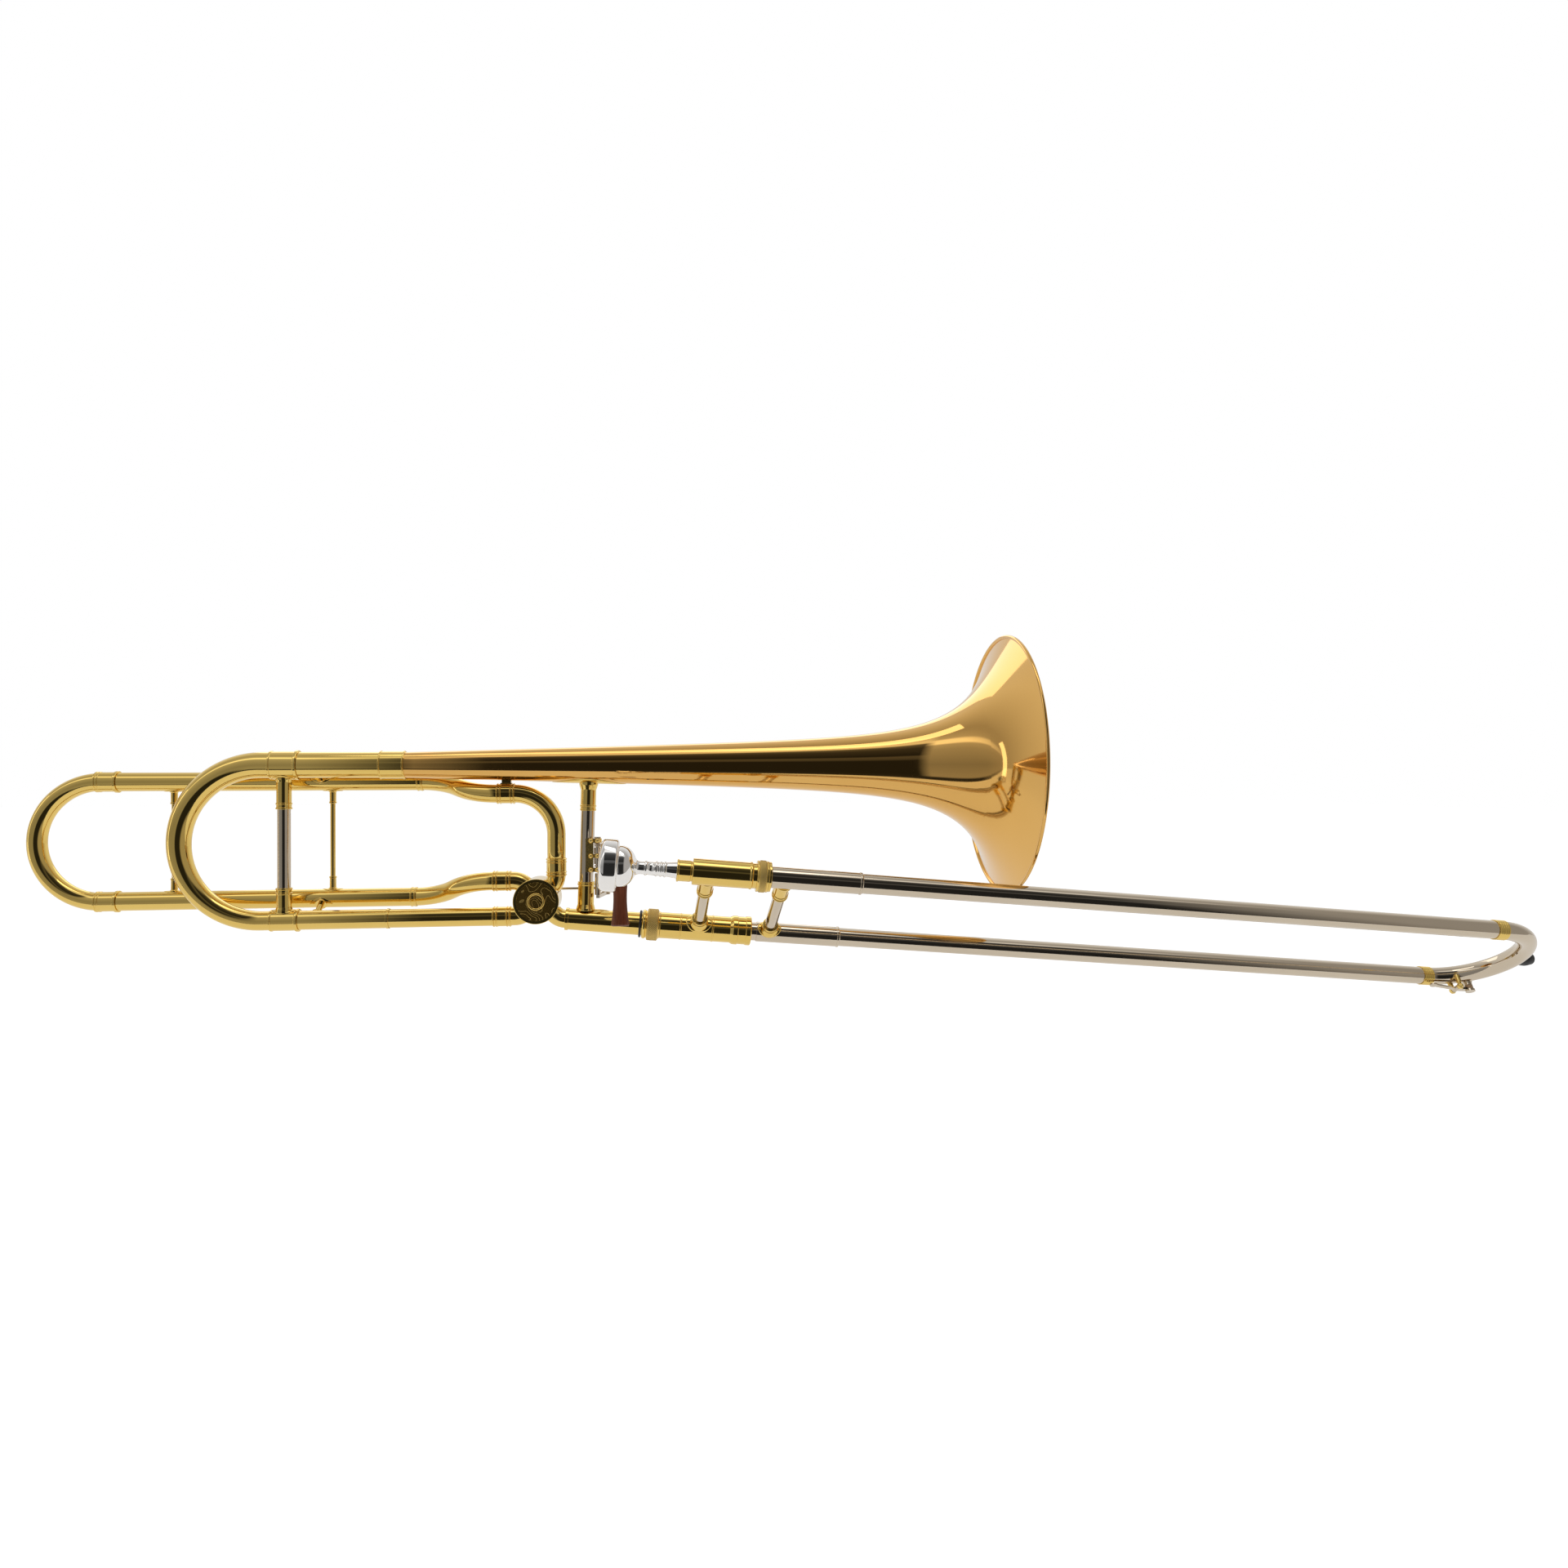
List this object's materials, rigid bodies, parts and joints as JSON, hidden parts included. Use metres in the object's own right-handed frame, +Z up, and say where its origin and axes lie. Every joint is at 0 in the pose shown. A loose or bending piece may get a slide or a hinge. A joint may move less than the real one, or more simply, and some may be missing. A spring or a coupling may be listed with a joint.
{
  "type": "trombone",
  "caption": "Tenor trombone with an open-wrap F attachment: flared bell, tuning slides, rotary valve with thumb lever, locking hand slide, water key and mouthpiece.",
  "frame": {"origin": "centre of the bell mouth, on the bell's axis in the plane of its rim", "axes": "+X along the bell's axis, out of the bell; +Z up in the plane of the bell section, from the lower main leg to the bell; +Y completes the right-handed frame, so the hand slide and the mouthpiece lie towards -Y"},
  "size_m": [1.2555, 0.2212, 0.3181],
  "materials": {
    "bell_brass": "lacquered rose-gold brass, mirror polish",
    "tube_brass": "lacquered yellow brass, mirror polish",
    "nickel": "lacquered nickel silver, mirror polish",
    "silver": "silver plate, mirror polish",
    "slide_chrome": "hard chrome",
    "rosewood": "oiled dark hardwood",
    "rubber": "black rubber",
    "cork": "natural cork"
  },
  "bodies": {
    "bell_section": {"bell": "bell_brass", "bell_rim_wire": "tube_brass", "bell_tail_ferrule": "tube_brass", "main_outer_legs": "tube_brass", "main_link_tube": "tube_brass", "tube_ferrules": "tube_brass", "valve_elbows": "tube_brass", "valve_casing": "tube_brass", "front_bearing": "tube_brass", "valve_cap": "tube_brass", "stop_plate": "tube_brass", "stop_corks": "cork", "f_riser": "tube_brass", "f_s_bends": "tube_brass", "f_outer_legs": "tube_brass", "f_braces": "tube_brass", "leg_connectors": "tube_brass", "bell_brace_saddle": "tube_brass", "bell_brace_tube": "nickel", "bell_brace_foot": "tube_brass", "lever_bracket": "tube_brass", "lever_pin": "nickel", "gooseneck": "tube_brass", "slide_o_ring": "rubber"},
    "tuning_slide": {"tuning_crook": "tube_brass", "tuning_inner_legs": "tube_brass", "tuning_ferrules": "tube_brass", "tuning_brace": "nickel", "tuning_brace_sockets": "tube_brass"},
    "f_slide": {"f_crook": "tube_brass", "f_inner_legs": "tube_brass", "f_crook_ferrules": "tube_brass"},
    "rotor": {"rotor": "tube_brass", "stop_arm": "tube_brass"},
    "link": {"link_rod": "nickel"},
    "lever": {"thumb_lever": "nickel", "thumb_paddle": "rosewood", "lever_spring": "nickel"},
    "inner_slide": {"slide_tenon": "silver", "lower_cork_barrel": "tube_brass", "upper_cork_barrel": "tube_brass", "barrel_corks": "cork", "leadpipe": "tube_brass", "inner_tubes": "slide_chrome", "inner_brace": "nickel", "inner_brace_sockets": "tube_brass"},
    "lock_nut": {"bell_lock_nut": "tube_brass"},
    "lock_ring": {"slide_lock_ring": "tube_brass"},
    "mouthpiece": {"mouthpiece": "silver"},
    "outer_slide": {"outer_tubes": "nickel", "outer_sleeves": "nickel", "outer_brace": "nickel", "outer_brace_sockets": "tube_brass", "bow_ferrules": "tube_brass", "slide_bow": "nickel", "bow_bumper": "rubber", "water_key_saddle": "tube_brass"},
    "water_key": {"water_key_lever": "nickel", "water_key_cork": "cork"}
  },
  "joints": [
    {"name": "tuning_slide_pull", "type": "slide", "parent": "bell_section", "child": "tuning_slide", "axis": [-1, 0, 0], "range_m": [0, 0.045]},
    {"name": "f_slide_pull", "type": "slide", "parent": "bell_section", "child": "f_slide", "axis": [-1, 0, 0], "range_m": [0, 0.06]},
    {"name": "slide_swivel", "type": "hinge", "parent": "bell_section", "child": "inner_slide", "pos_m": [0, 0, -0.1579], "axis": [0.9963, 0, -0.0863], "range_deg": [-4, 35]},
    {"name": "hand_slide", "type": "slide", "parent": "inner_slide", "child": "outer_slide", "axis": [0.9963, 0, -0.0863], "range_m": [0, 0.58]},
    {"name": "slide_lock_turn", "type": "hinge", "parent": "inner_slide", "child": "lock_ring", "pos_m": [-0.21658, -0.08107, -0.08569], "axis": [0.9963, 0, -0.0863], "range_deg": [0, 30]},
    {"name": "lock_nut_turn", "type": "hinge", "parent": "inner_slide", "child": "lock_nut", "pos_m": [-0.30087, 0, -0.13184], "axis": [0.9963, 0, -0.0863], "continuous": true},
    {"name": "mouthpiece_pull", "type": "slide", "parent": "inner_slide", "child": "mouthpiece", "axis": [-0.9963, 0, 0.0863], "range_m": [0, 0.04]},
    {"name": "rotor_turn", "type": "hinge", "parent": "bell_section", "child": "rotor", "pos_m": [-0.3916, 0, -0.109], "axis": [0, -1, 0], "range_deg": [0, 90], "stiffness_Nm_per_rad": 0.05, "springref_deg": -28.65},
    {"name": "lever_swing", "type": "hinge", "parent": "bell_section", "child": "lever", "pos_m": [-0.3438, -0.007, -0.075], "axis": [0, 0, 1], "range_deg": [0, 22.09]},
    {"name": "link_swing", "type": "hinge", "parent": "rotor", "child": "link", "pos_m": [-0.38594, 0.022, -0.10334], "axis": [0, -1, 0], "range_deg": [-90.1, 0]},
    {"name": "water_key_open", "type": "hinge", "parent": "outer_slide", "child": "water_key", "pos_m": [0.41579, -0.01287, -0.20152], "axis": [0.0048, 0.8347, -0.5507], "range_deg": [0, 5], "stiffness_Nm_per_rad": 0.1, "springref_deg": -11.46}
  ],
  "couplings": [
    {"joint": "lever_swing", "follows": "rotor_turn", "ratio": 0.24528},
    {"joint": "link_swing", "follows": "rotor_turn", "ratio": -1}
  ]
}
